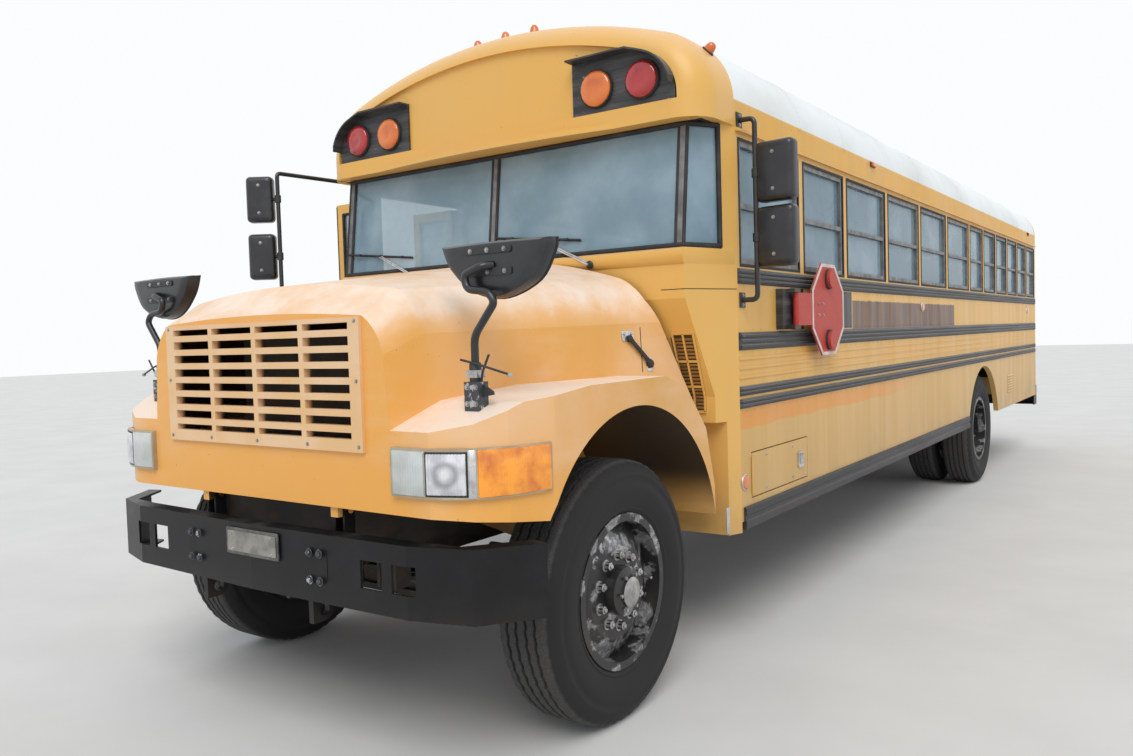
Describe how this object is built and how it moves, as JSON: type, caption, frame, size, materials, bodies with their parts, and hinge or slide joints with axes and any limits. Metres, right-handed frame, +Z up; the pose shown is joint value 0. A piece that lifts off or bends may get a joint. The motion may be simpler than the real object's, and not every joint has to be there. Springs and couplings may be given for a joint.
{
  "type": "school bus",
  "caption": "Conventional school bus with tilting hood, dual rear wheels, open two-leaf entrance door, stop arm and warning lamps, sun-faded yellow with black rails.",
  "frame": {"origin": "on the ground under the middle of the whole bus's bounding box", "axes": "-Y is the bus's front, +X its left (driver's) side, +Z up"},
  "size_m": [3.0898, 10.647, 3.127],
  "materials": {
    "yellow_paint": "faded gloss",
    "black_paint": "worn satin",
    "white_paint": "weathered",
    "frame_steel": "dusty black",
    "wheel_steel": "worn black over steel",
    "zinc_steel": "dull",
    "tyre_rubber": "dusty",
    "black_plastic": "faded",
    "lamp_plastic": "gloss",
    "lamp_glass": "clear",
    "window_glass": "tinted",
    "sash_aluminium": "dull",
    "seat_vinyl": "satin",
    "sign_red": "faded"
  },
  "bodies": {
    "chassis": {"body_glass": "window_glass", "cowl": "yellow_paint", "dash": "black_plastic", "drive_shaft": "frame_steel", "engine_block": "frame_steel", "exhaust": "zinc_steel", "floor": "frame_steel", "frame_rails": "frame_steel", "front_axle": "frame_steel", "front_bumper": "black_paint", "front_cap": "yellow_paint", "fuel_tank": "black_paint", "lamp_pods": "black_paint", "leaf_springs": "frame_steel", "mirrors": "black_plastic", "rear_axle": "frame_steel", "rear_bumper": "black_paint", "rear_wall": "yellow_paint", "roof": "white_paint", "rub_rails": "black_paint", "seats": "seat_vinyl", "side_left": "yellow_paint", "side_right": "yellow_paint", "signal_lamps": "lamp_plastic", "stop_bracket": "black_paint", "window_sashes": "sash_aluminium"},
    "left_knuckle": {"knuckle_left": "frame_steel"},
    "right_knuckle": {"knuckle_right": "frame_steel"},
    "left_front_wheel": {"front_tyre_left": "tyre_rubber", "front_wheel_left": "wheel_steel"},
    "right_front_wheel": {"front_tyre_right": "tyre_rubber", "front_wheel_right": "wheel_steel"},
    "left_rear_wheels": {"rear_tyres_left": "tyre_rubber", "rear_wheel_left": "wheel_steel"},
    "right_rear_wheels": {"rear_tyres_right": "tyre_rubber", "rear_wheel_right": "wheel_steel"},
    "tilting_hood": {"hood": "yellow_paint", "grille": "black_plastic", "headlamps": "lamp_glass", "crossview_mirrors": "black_plastic"},
    "front_leaf": {"entry_leaf_front": "yellow_paint", "entry_glass_front": "window_glass"},
    "rear_leaf": {"entry_leaf_rear": "yellow_paint", "entry_glass_rear": "window_glass"},
    "emergency_door": {"rear_door": "yellow_paint", "rear_door_glass": "window_glass"},
    "battery_door": {"hatch": "yellow_paint"},
    "stop_sign": {"stop_arm": "sign_red"}
  },
  "joints": [
    {"name": "steer_left", "type": "hinge", "parent": "chassis", "child": "left_knuckle", "pos_m": [0.8, -4.3935, 0.525], "axis": [0, 0, 1], "range_deg": [-35, 35]},
    {"name": "steer_right", "type": "hinge", "parent": "chassis", "child": "right_knuckle", "pos_m": [-0.8, -4.3935, 0.525], "axis": [0, 0, 1], "range_deg": [-35, 35]},
    {"name": "front_left_spin", "type": "hinge", "parent": "left_knuckle", "child": "left_front_wheel", "pos_m": [0.99, -4.3935, 0.525], "axis": [1, 0, 0], "continuous": true},
    {"name": "front_right_spin", "type": "hinge", "parent": "right_knuckle", "child": "right_front_wheel", "pos_m": [-0.99, -4.3935, 0.525], "axis": [1, 0, 0], "continuous": true},
    {"name": "rear_left_spin", "type": "hinge", "parent": "chassis", "child": "left_rear_wheels", "pos_m": [0.871, 2.1365, 0.525], "axis": [1, 0, 0], "continuous": true},
    {"name": "rear_right_spin", "type": "hinge", "parent": "chassis", "child": "right_rear_wheels", "pos_m": [-0.871, 2.1365, 0.525], "axis": [1, 0, 0], "continuous": true},
    {"name": "hood_tilt", "type": "hinge", "parent": "chassis", "child": "tilting_hood", "pos_m": [0, -5.1935, 0.93], "axis": [1, 0, 0], "range_deg": [0, 70]},
    {"name": "entry_front_swing", "type": "hinge", "parent": "chassis", "child": "front_leaf", "pos_m": [-1.2283, -3.4685, 1.4], "axis": [0, 0, 1], "range_deg": [-90, 0]},
    {"name": "entry_rear_swing", "type": "hinge", "parent": "chassis", "child": "rear_leaf", "pos_m": [-1.2283, -2.7285, 1.4], "axis": [0, 0, 1], "range_deg": [0, 90]},
    {"name": "rear_door_swing", "type": "hinge", "parent": "chassis", "child": "emergency_door", "pos_m": [-0.326, 5.1328, 1.8], "axis": [0, 0, 1], "range_deg": [0, 110]},
    {"name": "battery_door_swing", "type": "hinge", "parent": "chassis", "child": "battery_door", "pos_m": [1.2263, -3.4085, 0.85], "axis": [0, 0, -1], "range_deg": [0, 110]},
    {"name": "stop_arm_swing", "type": "hinge", "parent": "chassis", "child": "stop_sign", "pos_m": [1.283, -2.9635, 1.65], "axis": [0, 0, -1], "range_deg": [0, 90]}
  ],
  "couplings": [
    {"joint": "steer_right", "follows": "steer_left", "ratio": 1},
    {"joint": "entry_rear_swing", "follows": "entry_front_swing", "ratio": -1}
  ]
}
